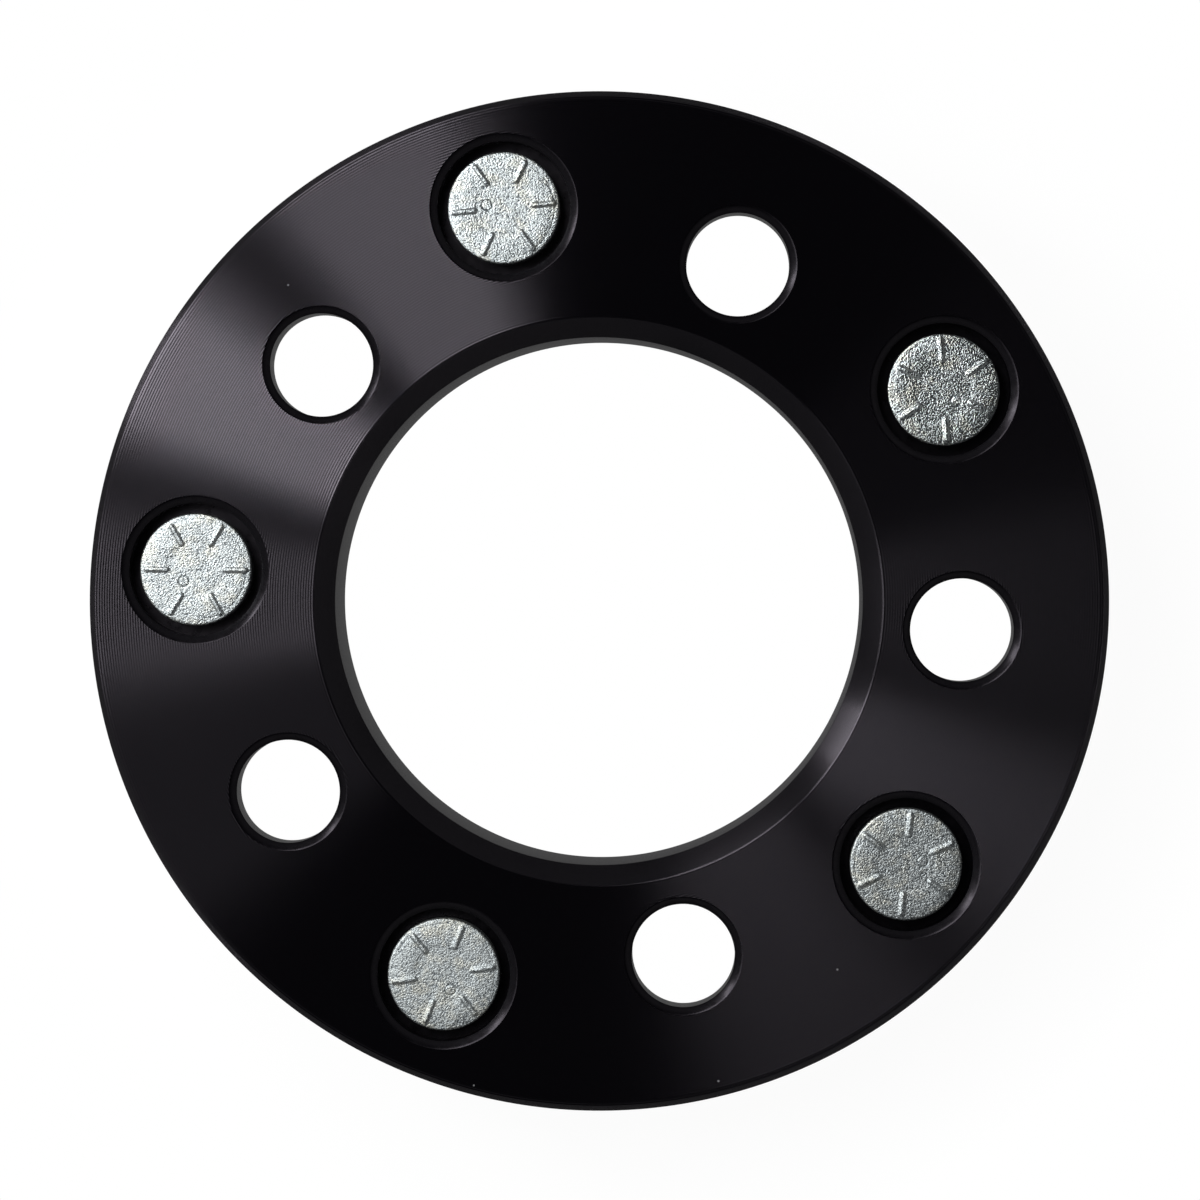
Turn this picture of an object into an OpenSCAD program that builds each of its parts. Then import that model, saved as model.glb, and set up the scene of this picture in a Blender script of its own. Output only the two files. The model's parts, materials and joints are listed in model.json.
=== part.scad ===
// Wheel spacer of the bolt-on kind. A turned aluminium ring is nutted onto the hub through one
// circle of holes, and carries the wheel on a second, larger circle of pressed-in studs.
// Millimetres. The origin is the centre of the hub face, +Z points out of that face towards the
// hub, and the studs point down towards the wheel.

/* [Spacer ring] */
// Thickness from the hub face to the wheel face
ring_t = 25.4; // [22:0.1:38]
// Centre bore that clears the hub
bore_d = 83; // [60:0.1:110]
// Bevel round the hub side of the bore, as wide as it is deep
bore_lead = 3.1; // [1:0.1:4]
// Edge break round the wheel side of the bore
bore_break = 0.8; // [0.3:0.1:1]
// Chamfer round both outer corners
rim_chamfer = 0.85; // [0.4:0.05:1.4]
// Width of the flat bevel that runs from each face into the outer chamfer
rim_bevel_w = 0.55; // [0.2:0.05:1]
// Drop of that flat bevel
rim_bevel_h = 0.1; // [0.05:0.01:0.2]

/* [Hub bolt holes] */
// Straight hole over a hub stud
hub_hole_d = 16.2; // [14:0.1:17]
// Chamfer of that hole at the hub face
hub_hole_lead = 1; // [0.5:0.1:1.5]
// Straight wall between the chamfer and the nut's seat
seat_land = 7.5; // [5:0.5:9]
// Wide end of the conical nut seat
seat_mouth_d = 21.5; // [19:0.5:23.5]
// Included angle of the nut seat in degrees
seat_angle = 60; // [60:5:90]
// Pocket that takes the nut and its socket, open at the wheel face
nut_pocket_d = 27; // [24:0.5:28]
// Edge break of the pocket at the wheel face
nut_pocket_break = 0.5; // [0.2:0.1:0.7]
// Wall between a pocket and the centre bore
pocket_web = 2.15; // [1.8:0.05:5]

/* [Wheel stud seats] */
// How much wider the studs' pitch circle is than that of the hub bolt holes
circle_step = 12.7; // [8:0.1:25.4]
// Gap all round between a stud head and its counterbore
head_gap = 1.6; // [1:0.1:2]
// How far a stud head lies below the hub face
head_sink = 1.4; // [0.5:0.1:3]
// Chamfer of the counterbore at the hub face
head_seat_lead = 1; // [0.5:0.1:1.5]
// Land between that chamfer and the rim
rim_land = 5.05; // [3:0.05:12]
// Edge break of the press hole at the wheel face
press_break = 0.5; // [0.2:0.1:0.8]

/* [Wheel studs] */
// Diameter of the forged head
head_d = 17.7; // [17:0.1:20]
// Thickness of the head
head_t = 3.6; // [3:0.1:5]
// Chamfer round the top of the head
head_bevel = 0.35; // [0.2:0.05:0.5]
// Edge break under the head
head_under_break = 0.25; // [0.1:0.05:0.4]
// Fall of the head's outer ring from its flat top to the chamfer
head_crown = 0.12; // [0.04:0.01:0.2]
// Depth of the shallow disc in the middle of the head
head_disc_h = 0.1; // [0.05:0.01:0.2]
// Diameter over the knurl's tips, which is also the press hole
knurl_d = 15.7; // [15:0.1:16.4]
// Length of the knurl below the head
knurl_len = 12.5; // [8:0.5:15]
// Depth of a knurl groove
knurl_depth = 0.5; // [0.3:0.05:0.6]
// Lead at the lower end of the knurl
knurl_lead = 0.9; // [0.6:0.1:1.5]
// Outside diameter of the thread, drawn as a plain rod
thread_d = 12.7; // [12:0.1:13]
// Length of stud that stands out of the wheel face
stud_reach = 27.2; // [15:0.1:40]
// Length of the lead at the stud's tip
tip_lead_len = 2; // [1:0.1:3]
// How much narrower the tip is, all round
tip_lead_w = 1.3; // [0.6:0.1:1.6]

/* [Marks on the stud heads] */
// Width of a raised grade rib
rib_w = 1; // [0.7:0.05:1.3]
// Height of a rib above the head
rib_h = 0.3; // [0.15:0.05:0.4]
// Diameter of the round pin mark
pin_mark_d = 1.5; // [1:0.1:2]
// Width of the groove round the pin mark
pin_groove_w = 0.16; // [0.1:0.02:0.25]
// Depth of that groove
pin_groove_h = 0.12; // [0.05:0.01:0.2]

/* [Hidden] */
$fn = 96;

// How far every cut runs past the face that it opens
overrun = 1;

// Both circles have five places, and the hub's lie halfway between the studs
lug_count = 5;
lug_step = 360 / lug_count;
first_stud_angle = 90;
// Direction of each head's lead rib, as the studs happened to be pressed in
stud_turns = [172, 226, 295, 11, 320];

// Head marks, as shares of the head's radius
rib_count = 6;
rib_start_share = 0.47;
rib_end_share = 0.94;
disc_share = 0.53;
crown_share = 0.76;
pin_place_share = 0.3;
pin_angle = -15;

knurl_teeth = 40;

bore_r = bore_d / 2;
hub_hole_r = hub_hole_d / 2;
seat_mouth_r = seat_mouth_d / 2;
nut_pocket_r = nut_pocket_d / 2;
head_r = head_d / 2;
knurl_r = knurl_d / 2;
knurl_root_r = knurl_r - knurl_depth;
thread_r = thread_d / 2;
head_seat_r = head_r + head_gap;

// The ring grows outwards from its bore: nut pockets, then stud heads, then the rim
hub_pcd = bore_d + 2 * (nut_pocket_r + pocket_web);
wheel_pcd = hub_pcd + circle_step;
ring_r = wheel_pcd / 2 + head_seat_r + head_seat_lead + rim_land;

// Depths below the hub face
head_seat_z = head_t + head_sink;
seat_top_z = hub_hole_lead + seat_land;
seat_end_z = seat_top_z + (seat_mouth_r - hub_hole_r) / tan(seat_angle / 2);

// Heights from the face under the head, where a stud seats
stud_len = ring_t - head_seat_z + stud_reach;

// A rib is a round bar sunk into the head until rib_w is left at the surface
rib_r = (rib_w * rib_w / 4 + rib_h * rib_h) / (2 * rib_h);
rib_sink = rib_r - rib_h;

// Puts its children on a pitch circle in one direction, without turning them
module on_circle(pcd, angle) {
    rotate(angle) translate([pcd / 2, 0, 0]) rotate(-angle) children();
}

// The ring as it leaves the lathe
module turned_ring() {
    corner_r = ring_r - rim_chamfer;
    face_r = corner_r - rim_bevel_w;
    corner_z = rim_bevel_h + rim_chamfer;
    rotate_extrude()
        polygon([
            [bore_r + bore_lead, 0],
            [face_r, 0],
            [corner_r, -rim_bevel_h],
            [ring_r, -corner_z],
            [ring_r, corner_z - ring_t],
            [corner_r, rim_bevel_h - ring_t],
            [face_r, -ring_t],
            [bore_r + bore_break, -ring_t],
            [bore_r, bore_break - ring_t],
            [bore_r, -bore_lead]
        ]);
}

// One hub bolt hole: chamfer, straight wall, conical nut seat and socket pocket in one sweep
module hub_hole_cut() {
    rotate_extrude()
        polygon([
            [0, overrun],
            [hub_hole_r + hub_hole_lead + overrun, overrun],
            [hub_hole_r, -hub_hole_lead],
            [hub_hole_r, -seat_top_z],
            [seat_mouth_r, -seat_end_z],
            [nut_pocket_r, -seat_end_z],
            [nut_pocket_r, nut_pocket_break - ring_t],
            [nut_pocket_r + nut_pocket_break + overrun, -ring_t - overrun],
            [0, -ring_t - overrun]
        ]);
}

// One stud seat: counterbore for the head, and the press hole that the knurl bites into
module stud_seat_cut() {
    rotate_extrude()
        polygon([
            [0, overrun],
            [head_seat_r + head_seat_lead + overrun, overrun],
            [head_seat_r, -head_seat_lead],
            [head_seat_r, -head_seat_z],
            [knurl_r, -head_seat_z],
            [knurl_r, press_break - ring_t],
            [knurl_r + press_break + overrun, -ring_t - overrun],
            [0, -ring_t - overrun]
        ]);
}

module spacer_body() {
    color([0.07, 0.07, 0.08])
        difference() {
            turned_ring();
            for (i = [0:lug_count - 1]) {
                stud_angle = first_stud_angle + i * lug_step;
                on_circle(wheel_pcd, stud_angle) stud_seat_cut();
                on_circle(hub_pcd, stud_angle + lug_step / 2) hub_hole_cut();
            }
        }
}

// Forged head on a rod of the thread's diameter, turned about the stud's own axis
module stud_blank() {
    rotate_extrude()
        polygon([
            [0, head_t - head_disc_h],
            [head_r * disc_share - head_disc_h, head_t - head_disc_h],
            [head_r * disc_share, head_t],
            [head_r * crown_share, head_t],
            [head_r - head_bevel, head_t - head_crown],
            [head_r, head_t - head_crown - head_bevel],
            [head_r, head_under_break],
            [head_r - head_under_break, 0],
            [thread_r, 0],
            [thread_r, tip_lead_len - stud_len],
            [thread_r - tip_lead_w, -stud_len],
            [0, -stud_len]
        ]);
}

// Straight knurl: sharp splines whose tips meet the wall of the press hole
module knurl() {
    tooth_step = 360 / knurl_teeth;
    intersection() {
        translate([0, 0, -knurl_len])
            linear_extrude(knurl_len)
                polygon([
                    for (i = [0:knurl_teeth - 1], half = [0, 1])
                        let (a = (i + half / 2) * tooth_step, r = half == 0 ? knurl_r : knurl_root_r)
                            [r * cos(a), r * sin(a)]
                ]);
        rotate_extrude()
            polygon([
                [0, 0],
                [knurl_r + overrun, 0],
                [knurl_r + overrun, knurl_lead + overrun - knurl_len],
                [knurl_r - knurl_lead, -knurl_len],
                [0, -knurl_len]
            ]);
    }
}

// One raised grade rib with round ends, lying along +X on the head
module grade_rib() {
    start_x = head_r * rib_start_share + rib_w / 2;
    bar_len = head_r * rib_end_share - rib_w / 2 - start_x;
    translate([start_x, 0, head_t - rib_sink])
        rotate([0, 90, 0]) {
            cylinder(r = rib_r, h = bar_len);
            sphere(r = rib_r);
            translate([0, 0, bar_len]) sphere(r = rib_r);
        }
}

// The fine groove that a die's pin leaves round its round face
module pin_groove() {
    inner_r = pin_mark_d / 2;
    floor_z = head_t - head_disc_h - pin_groove_h;
    rotate(pin_angle)
        translate([head_r * pin_place_share, 0, floor_z])
            difference() {
                cylinder(r = inner_r + pin_groove_w, h = pin_groove_h + overrun);
                translate([0, 0, -overrun]) cylinder(r = inner_r, h = pin_groove_h + 3 * overrun);
            }
}

module wheel_stud(number) {
    color([0.72, 0.74, 0.75])
        on_circle(wheel_pcd, first_stud_angle + (number - 1) * lug_step)
            translate([0, 0, -head_seat_z])
                rotate(stud_turns[number - 1])
                    difference() {
                        union() {
                            stud_blank();
                            knurl();
                            for (i = [0:rib_count - 1]) rotate(i * 360 / rib_count) grade_rib();
                        }
                        pin_groove();
                    }
}

spacer_body();
wheel_stud(1);  // wheel_stud_1
wheel_stud(2);  // wheel_stud_2
wheel_stud(3);  // wheel_stud_3
wheel_stud(4);  // wheel_stud_4
wheel_stud(5);  // wheel_stud_5
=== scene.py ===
import json
import math

import bpy
import bmesh
import numpy as np
from mathutils import Euler, Matrix, Vector


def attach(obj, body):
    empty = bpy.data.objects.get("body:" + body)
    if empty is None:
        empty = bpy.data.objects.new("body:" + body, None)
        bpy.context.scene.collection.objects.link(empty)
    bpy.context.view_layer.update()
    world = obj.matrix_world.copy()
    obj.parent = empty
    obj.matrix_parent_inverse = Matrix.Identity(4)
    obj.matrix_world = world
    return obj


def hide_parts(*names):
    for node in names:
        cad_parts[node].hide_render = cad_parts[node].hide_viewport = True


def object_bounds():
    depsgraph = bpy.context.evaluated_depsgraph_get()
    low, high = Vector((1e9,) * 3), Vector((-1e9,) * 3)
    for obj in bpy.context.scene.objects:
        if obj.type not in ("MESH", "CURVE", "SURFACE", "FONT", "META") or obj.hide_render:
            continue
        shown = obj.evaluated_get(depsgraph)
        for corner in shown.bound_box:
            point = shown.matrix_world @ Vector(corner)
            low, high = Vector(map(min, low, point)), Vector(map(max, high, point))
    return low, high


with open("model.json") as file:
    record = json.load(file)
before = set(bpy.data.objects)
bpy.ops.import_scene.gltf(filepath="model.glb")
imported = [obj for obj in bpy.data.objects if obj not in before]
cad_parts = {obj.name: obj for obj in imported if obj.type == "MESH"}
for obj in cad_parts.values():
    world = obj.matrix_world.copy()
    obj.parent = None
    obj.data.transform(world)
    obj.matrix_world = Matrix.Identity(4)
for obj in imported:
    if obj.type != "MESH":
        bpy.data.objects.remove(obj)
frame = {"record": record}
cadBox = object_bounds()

mm = 0.001
tiny = 1e-9  # metres, less than any real size
weld = {"gap": 2e-7, "shortest": 1e-7}
mounts = {m["name"]: m for m in frame["record"]["mounts"]}
hubCircle = mounts["hub_bolt_holes"]["dims"]["pcd_mm"] / 2 * mm
studCircle = mounts["wheel_studs"]["dims"]["pcd_mm"] / 2 * mm
wheelFaceZ = mounts["wheel_face"]["pos_m"][2]
lugCount = mounts["wheel_studs"]["dims"]["count"]
lugStep = 2 * math.pi / lugCount
firstStudAngle = math.radians(90)

scene = bpy.context.scene
scene.view_settings.view_transform = "Standard"

# small tools


def addNode(tree, kind, inputs=None, **settings):
    node = tree.nodes.new(kind)
    for name, value in settings.items():
        setattr(node, name, value)
    for name, value in (inputs or {}).items():
        socket = node.inputs[name]
        if isinstance(value, bpy.types.NodeSocket):
            tree.links.new(value, socket)
        else:
            socket.default_value = value
    return node


def mathNode(tree, operation, *values):
    return addNode(tree, "ShaderNodeMath", dict(enumerate(values)), operation=operation).outputs[0]


def mapRange(tree, value, low, high, toLow, toHigh):
    inputs = {"Value": value, "From Min": low, "From Max": high, "To Min": toLow, "To Max": toHigh}
    return addNode(tree, "ShaderNodeMapRange", inputs).outputs[0]


def mixColours(tree, share, first, second):
    inputs = {"Factor": share, 6: first, 7: second}
    return addNode(tree, "ShaderNodeMix", inputs, data_type="RGBA").outputs[2]


def newMaterial(name):
    material = bpy.data.materials.new(name)
    material.use_nodes = True
    tree = material.node_tree
    return material, tree, tree.nodes["Principled BSDF"]


def meshObject(name, vertices, faces, materials):
    mesh = bpy.data.meshes.new(name)
    mesh.from_pydata([tuple(v) for v in vertices], [], faces)
    for material in materials:
        mesh.materials.append(material)
    piece = bpy.data.objects.new(name, mesh)
    scene.collection.objects.link(piece)
    return piece


def roundCorners(points, radius, steps=3):  # swaps each corner of a profile for a small arc
    rounded = []
    for i, (x, z) in enumerate(points):
        here = Vector((x, z))
        back, ahead = Vector(points[i - 1]) - here, Vector(points[(i + 1) % len(points)]) - here
        reach = min(radius, back.length / 3, ahead.length / 3)
        start, end = here + back.normalized() * reach, here + ahead.normalized() * reach
        for k in range(steps + 1):
            t = k / steps
            rounded.append(tuple(start * (1 - t) ** 2 + here * 2 * t * (1 - t) + end * t * t))
    return rounded


def splitFlats(points, step):  # more points along the level stretches of a profile
    split = []
    for (x, z), (nextX, nextZ) in zip(points, points[1:] + points[:1]):
        parts = max(1, round(abs(nextX - x) / step)) if abs(nextZ - z) < tiny else 1
        split += [(x + (nextX - x) * k / parts, z) for k in range(parts)]
    return split


def turnedShell(profile, count, centre=(0, 0)):  # sweeps a closed profile of radius and height about Z
    vertices, faces, rings = [], [], []
    middleX, middleY = centre
    for radius, height in profile:
        if radius < tiny:
            rings.append([len(vertices)] * count)
            vertices.append((middleX, middleY, height))
            continue
        rings.append(range(len(vertices), len(vertices) + count))
        for k in range(count):
            angle = 2 * math.pi * k / count
            vertices.append((middleX + radius * math.cos(angle), middleY + radius * math.sin(angle), height))
    for i in range(len(rings)):
        a, b = rings[i], rings[(i + 1) % len(rings)]
        for k in range(count):
            corners = [a[k], a[(k + 1) % count], b[(k + 1) % count], b[k]]
            corners = list(dict.fromkeys(corners))
            if len(corners) > 2:
                faces.append(corners)
    return vertices, faces


def faceOutwards(mesh):
    shell = bmesh.new()
    shell.from_mesh(mesh)
    bmesh.ops.remove_doubles(shell, verts=shell.verts, dist=weld["gap"])
    bmesh.ops.dissolve_degenerate(shell, edges=shell.edges, dist=weld["shortest"])
    bmesh.ops.recalc_face_normals(shell, faces=shell.faces)
    shell.to_mesh(mesh)
    shell.free()


# camera, where the photograph was taken from

shot = {
    "lens": 153.13,
    "place": Vector((18.9, 7.59, 799.57)) * mm,  # from the middle of the hub face
    "turn": (-0.527, 1.333, 0.004),  # degrees
    "roll": -13.5,  # the part's own frame has a stud straight up, the photograph has it leaning left
}
photoTurn = Matrix.Rotation(math.radians(shot["roll"]), 4, "Z")
cameraData = bpy.data.cameras.new("camera")
cameraData.lens = shot["lens"]
camera = bpy.data.objects.new("camera", cameraData)
look = Euler([math.radians(a) for a in shot["turn"]], "XYZ").to_matrix().to_4x4()
camera.matrix_world = photoTurn @ Matrix.Translation(shot["place"]) @ look
scene.collection.objects.link(camera)
scene.camera = camera
print("camera set")

# sizes of the turned ring

ring = {
    "outerR": 80 * mm,
    "boreR": mounts["centre_bore"]["dims"]["r_mm"] * mm,
    "boreLead": 3.1 * mm,
    "boreBreak": 0.8 * mm,
    "rimChamfer": 0.85 * mm,
    "rimBevelWide": 0.55 * mm,
    "rimBevelDeep": 0.1 * mm,
    "edgeRound": 0.12 * mm,
    "segments": 360,
    "flatStep": 2.5 * mm,
}

# black anodised finishes

anodised = {
    "colour": (0.0008, 0.0007, 0.0013, 1),
    "palerColour": (0.0014, 0.0012, 0.0020, 1),
    "tint": (0.95, 0.87, 1.0, 1),
    "toolPitch": 0.40 * mm,
    "glint": (0.36, 0.64),  # specular level in the hollow and on the ridge of a tool mark
    "scallop": (0.42, 0.30),  # slopes at the two edges of a tool mark, towards the rim and towards the bore
    "fineScallop": 0.25,  # how much of that the bore's wall and bevel have
    "roughness": (0.18, 0.24),
    "anisotropy": 1.0,
    "anisotropyTurn": 0.25,
    "drillDepth": 0.006 * mm,
    "drillFeedScale": 1500,  # marks and grains to the metre
    "drillGrainScale": 900,
    "drillDetail": 1,
    "drillRange": (0.7, 1.3),  # of the two noises together
    "drilledRoughness": (0.24, 0.36),
    "drilledGlint": 0.3,
    # colour of bare metal at the nicks, also a painted glint at the two spots by the rim at -Y
    "bareMetalAndGlint": (0.30, 0.30, 0.31, 1),
}
nicksAndRimGlints = (  # where bare metal shows at nicks, and, in the fifth and sixth by the rim at -Y, a painted glint: place from the middle, and radius
    (-50.0, -25.6, 0.24), (38.3, 38.9, 0.2), (-27.1, -56.6, 0.18), (23.0, -64.8, 0.2),
    (-36.7, -69.3, 0.18), (0.8, -77.5, 0.22), (-35.7, 59.6, 0.18),
)


def turnedCoordinates(tree):  # distance across the tool marks on faces, walls and chamfers alike
    place = addNode(tree, "ShaderNodeTexCoord").outputs["Object"]
    split = addNode(tree, "ShaderNodeSeparateXYZ", {0: place})
    flat = addNode(tree, "ShaderNodeCombineXYZ", {0: split.outputs[0], 1: split.outputs[1]})
    radius = addNode(tree, "ShaderNodeVectorMath", {0: flat.outputs[0]}, operation="LENGTH").outputs["Value"]
    nearBore = mathNode(tree, "LESS_THAN", radius, hubCircle)
    depth = mathNode(tree, "MULTIPLY", split.outputs[2], mapRange(tree, nearBore, 0.0, 1.0, -1.0, 1.0))
    return mathNode(tree, "ADD", radius, depth), radius, place


def nickAndGlintMask(tree, place):  # 1 on the small nicks of the hub face and on its painted glint spots by the rim at -Y, 0 elsewhere
    total = None
    for x, y, size in nicksAndRimGlints:
        middle = (x * mm, y * mm, 0)
        away = addNode(tree, "ShaderNodeVectorMath", {0: place, 1: middle}, operation="DISTANCE")
        mask = mapRange(tree, away.outputs["Value"], size * mm, size / 2 * mm, 0.0, 1.0)
        total = mask if total is None else mathNode(tree, "MAXIMUM", total, mask)
    return total


def makeTurnedBlack():
    material, tree, shader = newMaterial("turnedBlackAnodise")
    across, radius, place = turnedCoordinates(tree)
    turn = mathNode(tree, "FRACT", mathNode(tree, "DIVIDE", across, anodised["toolPitch"]))
    outSlope, inSlope = anodised["scallop"]
    bowl = mathNode(tree, "SUBTRACT", mathNode(tree, "MULTIPLY", turn, (outSlope + inSlope) / 2), outSlope)
    faceStart = ring["boreR"] + ring["boreLead"]
    coarse = mapRange(tree, radius, faceStart - ring["edgeRound"], faceStart, anodised["fineScallop"], 1.0)
    scallop = mathNode(tree, "MULTIPLY", mathNode(tree, "MULTIPLY", bowl, turn), coarse)
    bump = addNode(tree, "ShaderNodeBump",
                   {"Height": scallop, "Distance": anodised["toolPitch"], "Strength": 1.0})
    ridge = mathNode(tree, "PINGPONG", mathNode(tree, "MULTIPLY", turn, 2.0), 1.0)
    colour = mixColours(tree, ridge, anodised["colour"], anodised["palerColour"])
    # bare metal colour on the nicks, and a painted glint on the two spots by the rim at -Y
    wornAndGlinted = mixColours(tree, nickAndGlintMask(tree, place), colour, anodised["bareMetalAndGlint"])
    rough = mapRange(tree, ridge, 0.0, 1.0, *anodised["roughness"])
    tree.links.new(mapRange(tree, ridge, 0.0, 1.0, *anodised["glint"]), shader.inputs["Specular IOR Level"])
    tangent = addNode(tree, "ShaderNodeTangent", direction_type="RADIAL", axis="Z")
    tree.links.new(wornAndGlinted, shader.inputs["Base Color"])
    tree.links.new(rough, shader.inputs["Roughness"])
    tree.links.new(bump.outputs[0], shader.inputs["Normal"])
    tree.links.new(tangent.outputs[0], shader.inputs["Tangent"])
    shader.inputs["Specular Tint"].default_value = anodised["tint"]
    shader.inputs["Anisotropic"].default_value = anodised["anisotropy"]
    shader.inputs["Anisotropic Rotation"].default_value = anodised["anisotropyTurn"]
    return material


def makeDrilledBlack():
    material, tree, shader = newMaterial("drilledBlackAnodise")
    place = addNode(tree, "ShaderNodeTexCoord").outputs["Object"]
    height = addNode(tree, "ShaderNodeSeparateXYZ", {0: place}).outputs[2]
    feed = addNode(tree, "ShaderNodeTexNoise",
                   {"W": height, "Scale": anodised["drillFeedScale"],
                    "Detail": anodised["drillDetail"]}, noise_dimensions="1D")
    grain = addNode(tree, "ShaderNodeTexNoise",
                    {"Vector": place, "Scale": anodised["drillGrainScale"],
                     "Detail": anodised["drillDetail"]})
    both = mathNode(tree, "ADD", feed.outputs["Fac"], grain.outputs["Fac"])
    bump = addNode(tree, "ShaderNodeBump",
                   {"Height": both, "Distance": anodised["drillDepth"], "Strength": 1.0})
    rough = mapRange(tree, both, *anodised["drillRange"], *anodised["drilledRoughness"])
    tree.links.new(rough, shader.inputs["Roughness"])
    tree.links.new(bump.outputs[0], shader.inputs["Normal"])
    shader.inputs["Base Color"].default_value = anodised["colour"]
    shader.inputs["Specular Tint"].default_value = anodised["tint"]
    shader.inputs["Specular IOR Level"].default_value = anodised["drilledGlint"]
    return material


turnedBlack, drilledBlack = makeTurnedBlack(), makeDrilledBlack()
print("anodised finishes made")

# spacer body: a turned ring with two circles of stepped holes

hubHole = {
    "radius": mounts["hub_bolt_holes"]["dims"]["hole_r_mm"] * mm,
    "lead": 1.0 * mm,
    "land": 7.5 * mm,
    "seatMouthR": 10.75 * mm,
    "seatSlope": math.radians(30),
    "pocketR": 13.5 * mm,
    "pocketBreak": 0.5 * mm,
}
studSeat = {
    "headR": 10.45 * mm,
    "lead": 1.0 * mm,
    "depth": 5.0 * mm,
    "pressR": 7.85 * mm,
    "break": 0.5 * mm,
}
cutter = {"overrun": 1 * mm, "segments": 128, "lipSlope": 0.3, "edgeRound": 0.1 * mm}


def ringProfile():
    corner, low = ring["outerR"] - ring["rimChamfer"], wheelFaceZ
    faceR, drop = corner - ring["rimBevelWide"], ring["rimBevelDeep"]
    corners = [
        (ring["boreR"] + ring["boreLead"], 0), (faceR, 0), (corner, -drop),
        (ring["outerR"], -drop - ring["rimChamfer"]), (ring["outerR"], low + drop + ring["rimChamfer"]),
        (corner, low + drop), (faceR, low), (ring["boreR"] + ring["boreBreak"], low),
        (ring["boreR"], low + ring["boreBreak"]), (ring["boreR"], -ring["boreLead"]),
    ]
    return splitFlats(roundCorners(corners, ring["edgeRound"]), ring["flatStep"])


def openedMouth(radius, lead, faceZ, outward):  # a chamfer whose lip eases into the face
    lip, over = cutter["edgeRound"], cutter["overrun"]
    slope = cutter["lipSlope"]
    edge = radius + lead
    return [(edge + lip + over, faceZ + outward * (over * slope + lip * slope)),
            (edge - lip * (1 - slope), faceZ - outward * lip), (radius, faceZ - outward * lead)]


def hubHoleProfile():
    seatTop = -hubHole["lead"] - hubHole["land"]
    seatEnd = seatTop - (hubHole["seatMouthR"] - hubHole["radius"]) / math.tan(hubHole["seatSlope"])
    top = openedMouth(hubHole["radius"], hubHole["lead"], 0, 1)
    bottom = openedMouth(hubHole["pocketR"], hubHole["pocketBreak"], wheelFaceZ, -1)[::-1]
    inner = [(hubHole["radius"], seatTop), (hubHole["seatMouthR"], seatEnd), (hubHole["pocketR"], seatEnd)]
    return [(0, top[0][1])] + top + inner + bottom + [(0, bottom[-1][1])]


def studSeatProfile():
    top = openedMouth(studSeat["headR"], studSeat["lead"], 0, 1)
    bottom = openedMouth(studSeat["pressR"], studSeat["break"], wheelFaceZ, -1)[::-1]
    inner = [(studSeat["headR"], -studSeat["depth"]), (studSeat["pressR"], -studSeat["depth"])]
    return [(0, top[0][1])] + top + inner + bottom + [(0, bottom[-1][1])]


def onCircle(radius, angle):
    return radius * math.cos(angle), radius * math.sin(angle)


def markSharpEdges(mesh, bend=math.radians(24), flat=0.99999):
    shell = bmesh.new()
    shell.from_mesh(mesh)
    shell.normal_update()
    for edge in shell.edges:
        if len(edge.link_faces) == 2:
            a, b = (face.normal for face in edge.link_faces)
            oneIsFace = (abs(a.z) > flat) != (abs(b.z) > flat)
            edge.smooth = not (oneIsFace or a.angle(b, 0) > bend)
    shell.to_mesh(mesh)
    shell.free()
    mesh.polygons.foreach_set("use_smooth", [True] * len(mesh.polygons))


def makeSpacerBody():
    vertices, faces = turnedShell(ringProfile(), ring["segments"])
    body = meshObject("turnedRing", vertices, faces, [turnedBlack, drilledBlack])
    faceOutwards(body.data)
    cutVertices, cutFaces = [], []
    for i in range(lugCount):
        angle = firstStudAngle + i * lugStep
        for profile, circle, turn in ((studSeatProfile(), studCircle, angle),
                                      (hubHoleProfile(), hubCircle, angle + lugStep / 2)):
            vertices, faces = turnedShell(profile, cutter["segments"], onCircle(circle, turn))
            cutFaces += [[c + len(cutVertices) for c in face] for face in faces]
            cutVertices += vertices
    cuts = meshObject("drills", cutVertices, cutFaces, [turnedBlack, drilledBlack])
    faceOutwards(cuts.data)
    cuts.data.polygons.foreach_set("material_index", [1] * len(cuts.data.polygons))
    drilling = body.modifiers.new("drilling", "BOOLEAN")
    drilling.object, drilling.operation, drilling.solver = cuts, "DIFFERENCE", "EXACT"
    drilled = bpy.data.meshes.new_from_object(body.evaluated_get(bpy.context.evaluated_depsgraph_get()))
    body.modifiers.clear()
    body.data = drilled
    bpy.data.objects.remove(cuts)
    markSharpEdges(drilled)
    return body


spacerBody = makeSpacerBody()
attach(spacerBody, "root")
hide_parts("spacer_body")
print("spacer body turned and drilled:", len(spacerBody.data.polygons), "faces")

# zinc finish of the studs

zinc = {
    "colour": (0.66, 0.71, 0.715, 1),
    "warmColour": (0.74, 0.74, 0.66, 1),
    "darkColour": (0.22, 0.25, 0.27, 1),
    "grainSize": 0.27 * mm,
    "grainDepth": 0.13 * mm,
    "grainDetail": 2,
    "grainHarshness": 0.6,
    "grainRange": (0.3, 0.7),  # noise levels between which the roughness below runs
    "roughness": (0.30, 0.42),
    "pitRange": (0.50, 0.36),  # noise levels at which the dark colour begins and is full
    "blotchScale": 420,  # blotches to the metre
    "blotchDetail": 3,
    "warmRange": (0.48, 0.68),
    "warmest": 0.8,  # greatest share of the warm colour
    "matte": (-0.04, 0.01, 0.10, 0.03, -0.15),  # added to each stud's roughness
}


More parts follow.
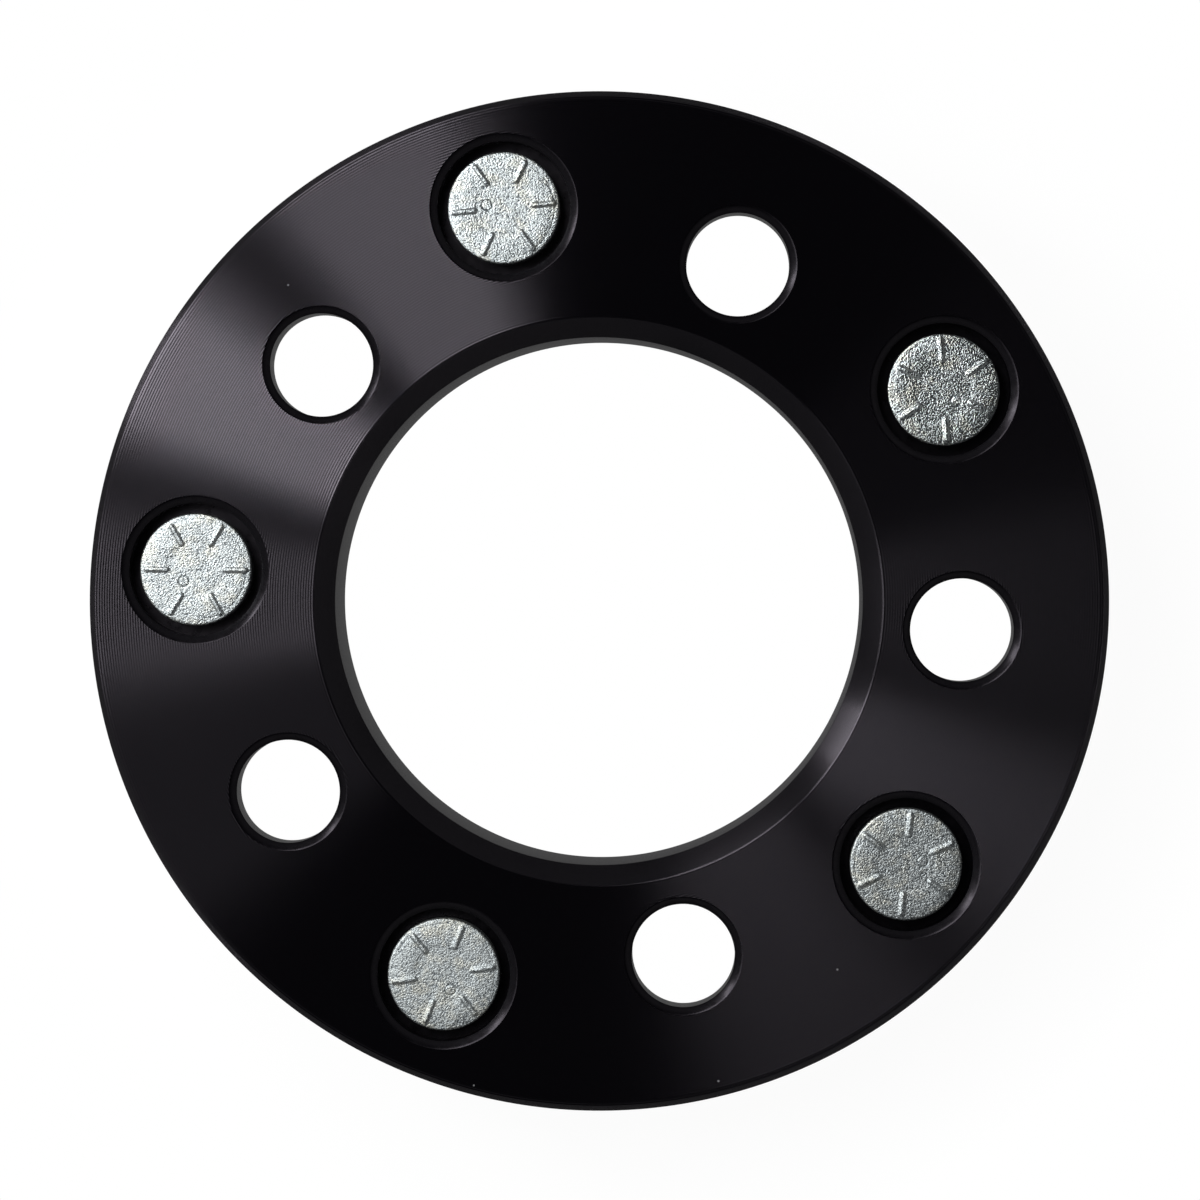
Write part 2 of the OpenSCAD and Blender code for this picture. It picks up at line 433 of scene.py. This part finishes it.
def makeZinc():
    material, tree, shader = newMaterial("brightZincPlate")
    place = addNode(tree, "ShaderNodeTexCoord").outputs["Object"]
    grain = addNode(tree, "ShaderNodeTexNoise",
                    {"Vector": place, "Scale": 1 / zinc["grainSize"],
                     "Detail": zinc["grainDetail"], "Roughness": zinc["grainHarshness"]})
    blotch = addNode(tree, "ShaderNodeTexNoise",
                     {"Vector": place, "Scale": zinc["blotchScale"], "Detail": zinc["blotchDetail"]})
    warm = mapRange(tree, blotch.outputs["Fac"], *zinc["warmRange"], 0.0, zinc["warmest"])
    dark = mapRange(tree, grain.outputs["Fac"], *zinc["pitRange"], 0.0, 1.0)
    plate = mixColours(tree, warm, zinc["colour"], zinc["warmColour"])
    pitted = mixColours(tree, dark, plate, zinc["darkColour"])
    bump = addNode(tree, "ShaderNodeBump",
                   {"Height": grain.outputs["Fac"], "Distance": zinc["grainDepth"], "Strength": 1.0})
    tree.links.new(pitted, shader.inputs["Base Color"])
    matte = addNode(tree, "ShaderNodeAttribute", attribute_name="matte").outputs["Fac"]
    rough = mapRange(tree, grain.outputs["Fac"], *zinc["grainRange"], *zinc["roughness"])
    tree.links.new(mathNode(tree, "ADD", rough, matte), shader.inputs["Roughness"])
    tree.links.new(bump.outputs[0], shader.inputs["Normal"])
    shader.inputs["Metallic"].default_value = 1.0
    return material


zincPlate = makeZinc()

# wheel studs: forged head, straight knurl, rolled thread

stud = {
    "headR": 8.85 * mm,
    "headT": 3.6 * mm,
    "headBevel": 0.35 * mm,
    "underBreak": 0.25 * mm,
    "crownFall": 0.15 * mm,
    "crownCurve": 1.5,
    "creasePlace": 0.9,  # shares of the head's radius, as are the next six
    "creaseWide": 0.012,
    "crownStart": 0.76,
    "discShare": 0.53,
    "ribStart": 0.47,
    "ribEnd": 0.94,
    "pinPlace": 0.30,
    "creaseDeep": 0.03 * mm,
    "creaseTurn": 2.2,  # direction of the forging crease, in radians
    "creaseEnds": (-0.2, 0.3),  # cosines of the angle from there at which it begins and is full
    "hammering": ((0.010 * mm, 4 * mm, 0), (0.005 * mm, 1.2 * mm, 50)),  # height, wavelength, shift of seed
    "discDeep": 0.05 * mm,
    "discSlope": 0.50 * mm,
    "ribWide": 1.0 * mm,
    "ribHigh": 0.26 * mm,
    "ribCount": 6,
    "ribFoot": 1.12,  # how far a rib's foot spreads, in half widths
    "ribFlank": 0.9,
    "ribWaver": 0.08,  # unevenness of a rib's height, as a share of it
    "ribWaverSize": 2 * mm,
    "pinR": 0.75 * mm,
    "pinGroove": 0.16 * mm,
    "pinDeep": 0.12 * mm,
    "pinSoft": 0.55,  # softness of the groove, as a share of its width
    "pinAngle": -15,
    "knurlR": 7.85 * mm,
    "knurlDeep": 0.5 * mm,
    "knurlLen": 12.5 * mm,
    "knurlLead": 0.9 * mm,
    "teeth": 40,
    "threadR": mounts["wheel_studs"]["dims"]["stud_r_mm"] * mm,
    "threadDeep": 0.78 * mm,
    "pitch": 1.27 * mm,
    "threadSteps": ((0.0, 1), (0.14, 1), (0.48, 0), (0.66, 0)),  # share of the pitch, and 1 crest or 0 root
    "neckLen": 2.0 * mm,
    "tipLeadLen": 2.0 * mm,
    "tipLeadWide": 1.3 * mm,
    "reach": 27.2 * mm,
    "columns": 320,
    "rows": 84,
    "edgeSteps": (0.35, 0.7, 1.0),
    "smoothBend": math.radians(32),
}
studTurns = [172, 226, 295, 11, 320]  # degrees, as the studs happened to be pressed in


def smooth(value, low, high):
    t = np.clip((value - low) / (high - low), 0, 1)
    return t * t * (3 - 2 * t)


def ripple(x, y, seed, size, waves=9, spread=(0.6, 1.6)):  # gentle hammered unevenness, about -1 to 1
    dice = np.random.RandomState(seed)
    total = np.zeros_like(x)
    for _ in range(waves):
        heading, phase = dice.uniform(0, 2 * np.pi, 2)
        length = size * dice.uniform(*spread)
        total += np.sin((x * np.cos(heading) + y * np.sin(heading)) * 2 * np.pi / length + phase)
    return total / waves ** 0.5


def headRelief(radius, angle, seed):  # height of the head's top above its flat
    headR = stud["headR"]
    x, y = radius * np.cos(angle), radius * np.sin(angle)
    discR = headR * stud["discShare"]
    relief = stud["discDeep"] * (smooth(radius, discR - stud["discSlope"], discR + stud["discSlope"]) - 1)
    fall = np.clip((radius / headR - stud["crownStart"]) / (1 - stud["crownStart"]), 0, 1)
    relief -= stud["crownFall"] * fall ** stud["crownCurve"]
    crease = np.exp(-((radius / headR - stud["creasePlace"]) / stud["creaseWide"]) ** 2)
    relief -= stud["creaseDeep"] * crease * smooth(np.cos(angle - stud["creaseTurn"]), *stud["creaseEnds"])
    for deep, size, shift in stud["hammering"]:
        relief += deep * ripple(x, y, seed + shift, size)
    pinX, pinY = onCircle(headR * stud["pinPlace"], math.radians(stud["pinAngle"]))
    fromPin = np.hypot(x - pinX, y - pinY)
    grooveMiddle = stud["pinR"] + stud["pinGroove"] / 2
    soft = stud["pinSoft"] * stud["pinGroove"]
    relief -= stud["pinDeep"] * np.exp(-((fromPin - grooveMiddle) / soft) ** 2)
    ribR = stud["ribWide"] / 2
    start, end = headR * stud["ribStart"] + ribR, headR * stud["ribEnd"] - ribR
    for k in range(stud["ribCount"]):
        turn = 2 * math.pi * k / stud["ribCount"]
        along = x * math.cos(turn) + y * math.sin(turn)
        beside = y * math.cos(turn) - x * math.sin(turn)
        away = np.hypot(along - np.clip(along, start, end), beside) / ribR
        crest = stud["ribHigh"] * smooth(stud["ribFoot"] - away, 0, stud["ribFlank"])
        relief = relief + crest * (1 + stud["ribWaver"] * ripple(x, y, seed + k, stud["ribWaverSize"]))
    return relief


def studRows(seed):  # radius and height of every vertex, row by row from the head's middle to the tip
    angle = np.arange(stud["columns"]) * 2 * np.pi / stud["columns"]
    rows = []

    def ringRow(radius, height):
        rows.append((np.broadcast_to(radius, angle.shape), np.broadcast_to(height, angle.shape)))

    edgeR = stud["headR"] - stud["headBevel"]
    radii = edgeR * np.linspace(0, 1, stud["rows"])[1:, None] * np.ones_like(angle)
    for radius, height in zip(radii, stud["headT"] + headRelief(radii, angle, seed)):
        ringRow(radius, height)
    edgeZ = rows[-1][1]
    for t in stud["edgeSteps"]:  # rounded top edge
        turn = t * math.pi / 2
        ringRow(edgeR + stud["headBevel"] * math.sin(turn), edgeZ - stud["headBevel"] * (1 - math.cos(turn)))
    ringRow(stud["headR"], stud["underBreak"])
    ringRow(stud["headR"] - stud["underBreak"], 0)

    tooth = np.abs(((angle * stud["teeth"] / (2 * np.pi)) % 1) - 0.5) * 2  # 1 at a tip, 0 at a root
    knurl = stud["knurlR"] - stud["knurlDeep"] * (1 - tooth)
    endR = stud["knurlR"] - stud["knurlLead"]
    ringRow(knurl, 0)
    ringRow(knurl, stud["knurlLead"] - stud["knurlLen"])
    ringRow(endR, -stud["knurlLen"])

    length = -studSeat["depth"] - wheelFaceZ + stud["reach"]
    rootR, crestR = stud["threadR"] - stud["threadDeep"], stud["threadR"]
    neckR = (rootR + crestR) / 2
    top, bottom = -stud["knurlLen"] - stud["neckLen"], -length
    ringRow(neckR, -stud["knurlLen"])
    turns = int((top - bottom) / stud["pitch"]) + 2
    for turn in range(-1, turns):
        for share, isCrest in stud["threadSteps"]:
            height = top - stud["pitch"] * (turn + share + angle / (2 * np.pi))
            runOut = smooth(top - height, 0, stud["pitch"])
            radius = neckR + ((crestR if isCrest else rootR) - neckR) * runOut
            height = np.clip(height, bottom, top)
            lead = stud["threadR"] - stud["tipLeadWide"] * np.clip(
                (bottom + stud["tipLeadLen"] - height) / stud["tipLeadLen"], 0, 1)
            ringRow(np.minimum(radius, lead), height)
    ringRow(stud["threadR"] - stud["tipLeadWide"], bottom)
    ringRow((stud["threadR"] - stud["tipLeadWide"]) / 2, bottom)
    return rows, angle, length


def makeWheelStud(number):
    rows, angle, length = studRows(number)
    turn = math.radians(studTurns[number - 1])
    placeX, placeY = onCircle(studCircle, firstStudAngle + (number - 1) * lugStep)
    seatZ = -studSeat["depth"]
    centreZ = stud["headT"] + float(headRelief(np.array([0.0]), np.array([0.0]), number)[0])
    vertices = [(placeX, placeY, seatZ + centreZ)]
    for radius, height in rows:
        vertices += list(zip(placeX + radius * np.cos(angle + turn), placeY + radius * np.sin(angle + turn),
                             seatZ + height))
    vertices.append((placeX, placeY, seatZ - length))
    count, last = stud["columns"], len(rows) - 1
    faces = [(0, 1 + k, 1 + (k + 1) % count) for k in range(count)]
    for i in range(last):
        a, b = 1 + i * count, 1 + (i + 1) * count
        faces += [(a + k, b + k, b + (k + 1) % count, a + (k + 1) % count) for k in range(count)]
    a, tip = 1 + last * count, len(vertices) - 1
    faces += [(a + k, tip, a + (k + 1) % count) for k in range(count)]
    piece = meshObject("wheelStud%d" % number, vertices, faces, [zincPlate])
    faceOutwards(piece.data)
    piece.data.polygons.foreach_set("use_smooth", [True] * len(piece.data.polygons))
    piece.data.set_sharp_from_angle(angle=stud["smoothBend"])
    matte = piece.data.attributes.new("matte", "FLOAT", "POINT")
    matte.data.foreach_set("value", [zinc["matte"][number - 1]] * len(piece.data.vertices))
    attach(piece, "root")
    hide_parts("wheel_stud_%d" % number)
    return piece


wheelStuds = [makeWheelStud(number + 1) for number in range(lugCount)]
print("wheel studs forged and threaded:", len(wheelStuds[0].data.polygons), "faces each")

# floor, room and lamps

room = {
    "floorSize": 6.0,
    "shadeWhite": 0.96,  # what the camera sees of the floor close to the part without any light on it
    "mirrorWhite": 0.22,  # what metal sees of the floor
    "shownDiffuse": (0.07, 0.07, 0.07, 1),
    "shadeFrom": (0.070, 0.078),  # metres from the middle at which the shown shadow fades in
    "shadeTo": (0.088, 0.112),  # and out
    "bounceDiffuse": (0.75, 0.75, 0.75, 1),
    "domeLight": 0.02,
    "horizonLight": 0.05,
    "wallLight": 0.26,
    "horizon": (0.08, 0.24),  # sines of the height between which the room's pale walls begin
    "wallTop": (0.36, 0.56),  # and end
}


def seenFactor(tree):  # 1 for camera, glossy and transmission rays
    path = addNode(tree, "ShaderNodeLightPath")
    seen = mathNode(tree, "MAXIMUM", path.outputs["Is Camera Ray"], path.outputs["Is Glossy Ray"])
    return mathNode(tree, "MAXIMUM", seen, path.outputs["Is Transmission Ray"]), path


def makeFloor():
    material, tree, shader = newMaterial("paleFloor")
    tree.nodes.remove(shader)
    seen, path = seenFactor(tree)
    place = addNode(tree, "ShaderNodeTexCoord").outputs["Object"]
    radius = addNode(tree, "ShaderNodeVectorMath", {0: place}, operation="LENGTH").outputs["Value"]
    near = mathNode(tree, "MULTIPLY", mapRange(tree, radius, *room["shadeFrom"], 0.0, 1.0),
                    mapRange(tree, radius, *room["shadeTo"], 1.0, 0.0))
    cameraWhite = mapRange(tree, near, 0.0, 1.0, 1.0, room["shadeWhite"])
    white = mapRange(tree, path.outputs["Is Camera Ray"], 0.0, 1.0, room["mirrorWhite"], cameraWhite)
    shade = addNode(tree, "ShaderNodeBsdfDiffuse", {"Color": room["shownDiffuse"]})
    shown = addNode(tree, "ShaderNodeAddShader", {
        0: addNode(tree, "ShaderNodeMixShader", {0: near, 2: shade.outputs[0]}).outputs[0],
        1: addNode(tree, "ShaderNodeEmission", {"Strength": white}).outputs[0]})
    bounce = addNode(tree, "ShaderNodeBsdfDiffuse", {"Color": room["bounceDiffuse"]})
    mixed = addNode(tree, "ShaderNodeMixShader", {0: seen, 1: bounce.outputs[0], 2: shown.outputs[0]})
    tree.links.new(mixed.outputs[0], tree.nodes["Material Output"].inputs["Surface"])
    material.cycles.emission_sampling = "NONE"
    half = room["floorSize"] / 2
    floor = meshObject("floor", [(-half, -half, 0), (half, -half, 0), (half, half, 0), (-half, half, 0)],
                       [(0, 1, 2, 3)], [material])
    floor.location.z = cadBox[0].z


def makeWorld():
    world = bpy.data.worlds.new("room")
    world.use_nodes = True
    scene.world = world
    world.cycles.sampling_method = "NONE"
    tree = world.node_tree
    seen, path = seenFactor(tree)
    upward = addNode(tree, "ShaderNodeSeparateXYZ",
                     {0: addNode(tree, "ShaderNodeTexCoord").outputs["Generated"]}).outputs[2]
    low = mapRange(tree, upward, *room["horizon"], room["horizonLight"], room["wallLight"])
    wall = mapRange(tree, upward, *room["wallTop"], 1.0, 0.0)
    dome = mathNode(tree, "ADD", mathNode(tree, "MULTIPLY", mathNode(tree, "MULTIPLY", low, wall), seen),
                    room["domeLight"])
    strength = mathNode(tree, "MAXIMUM", path.outputs["Is Camera Ray"], dome)
    tree.links.new(strength, tree.nodes["Background"].inputs["Strength"])
    tree.nodes["Background"].inputs["Color"].default_value = (1, 1, 1, 1)


lamps = {  # azimuth and polar angle as seen in the photograph, degrees; wide and long in metres; watts
    "highLamp": {"azimuth": 121.7, "polar": 36, "distance": 0.6, "wide": 0.145, "long": 0.26, "power": 0.88},
    "keyLamp": {"azimuth": 153, "polar": 47, "distance": 0.5, "wide": 0.10, "long": 0.42, "power": 1.35},
    "sideLamp": {"azimuth": 180, "polar": 36, "distance": 0.6, "wide": 0.125, "long": 0.26, "power": 0.36},
    "lowLamp": {"azimuth": 204, "polar": 38, "distance": 0.6, "wide": 0.20, "long": 0.26, "power": 0.12},
}


def makeLamp(name, lamp):
    data = bpy.data.lights.new(name, "AREA")
    data.shape, data.size, data.size_y = "RECTANGLE", lamp["wide"], lamp["long"]
    data.energy = lamp["power"]
    azimuth, polar = math.radians(lamp["azimuth"]), math.radians(lamp["polar"])
    lean = math.sin(polar)
    outward = Vector((lean * math.cos(azimuth), lean * math.sin(azimuth), math.cos(polar)))
    across = Vector((-math.sin(azimuth), math.cos(azimuth), 0))
    axes = Matrix((across, outward.cross(across), outward)).transposed().to_4x4()
    holder = bpy.data.objects.new(name, data)
    holder.matrix_world = photoTurn @ Matrix.Translation(outward * lamp["distance"]) @ axes
    scene.collection.objects.link(holder)


makeFloor()
makeWorld()
for lampName, lampValues in lamps.items():
    makeLamp(lampName, lampValues)
print("room lit")
